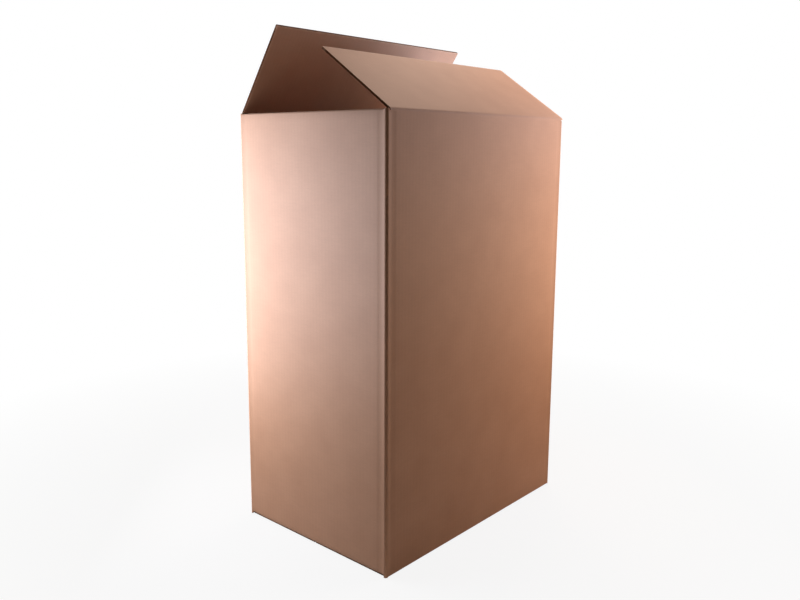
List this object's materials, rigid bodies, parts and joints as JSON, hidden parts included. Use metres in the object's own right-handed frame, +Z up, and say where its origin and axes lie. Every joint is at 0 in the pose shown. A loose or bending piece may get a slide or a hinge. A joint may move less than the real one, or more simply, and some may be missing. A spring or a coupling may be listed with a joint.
{
  "type": "corrugated box",
  "caption": "Tall plain corrugated box with a closed bottom, short end flaps folded in, and long top flaps that swing on their creases to close it.",
  "frame": {"origin": "middle of the base, on the surface that the box stands on", "axes": "+Z up, +X along the long panels, -Y is the long panel nearest in the picture, -X is the end panel nearest in it"},
  "size_m": [0.51, 0.357, 0.9058],
  "materials": {
    "carton_board": "matte",
    "flap_board": "matte"
  },
  "bodies": {
    "carton": {"carton": "carton_board"},
    "front_flap": {"front_flap": "flap_board"},
    "rear_flap": {"rear_flap": "flap_board"}
  },
  "joints": [
    {"name": "front_flap_fold", "type": "hinge", "parent": "carton", "child": "front_flap", "pos_m": [0, -0.1785, 0.76], "axis": [1, 0, 0], "range_deg": [-34, 230]},
    {"name": "rear_flap_fold", "type": "hinge", "parent": "carton", "child": "rear_flap", "pos_m": [0, 0.1785, 0.76], "axis": [-1, 0, 0], "range_deg": [-55, 209]}
  ]
}
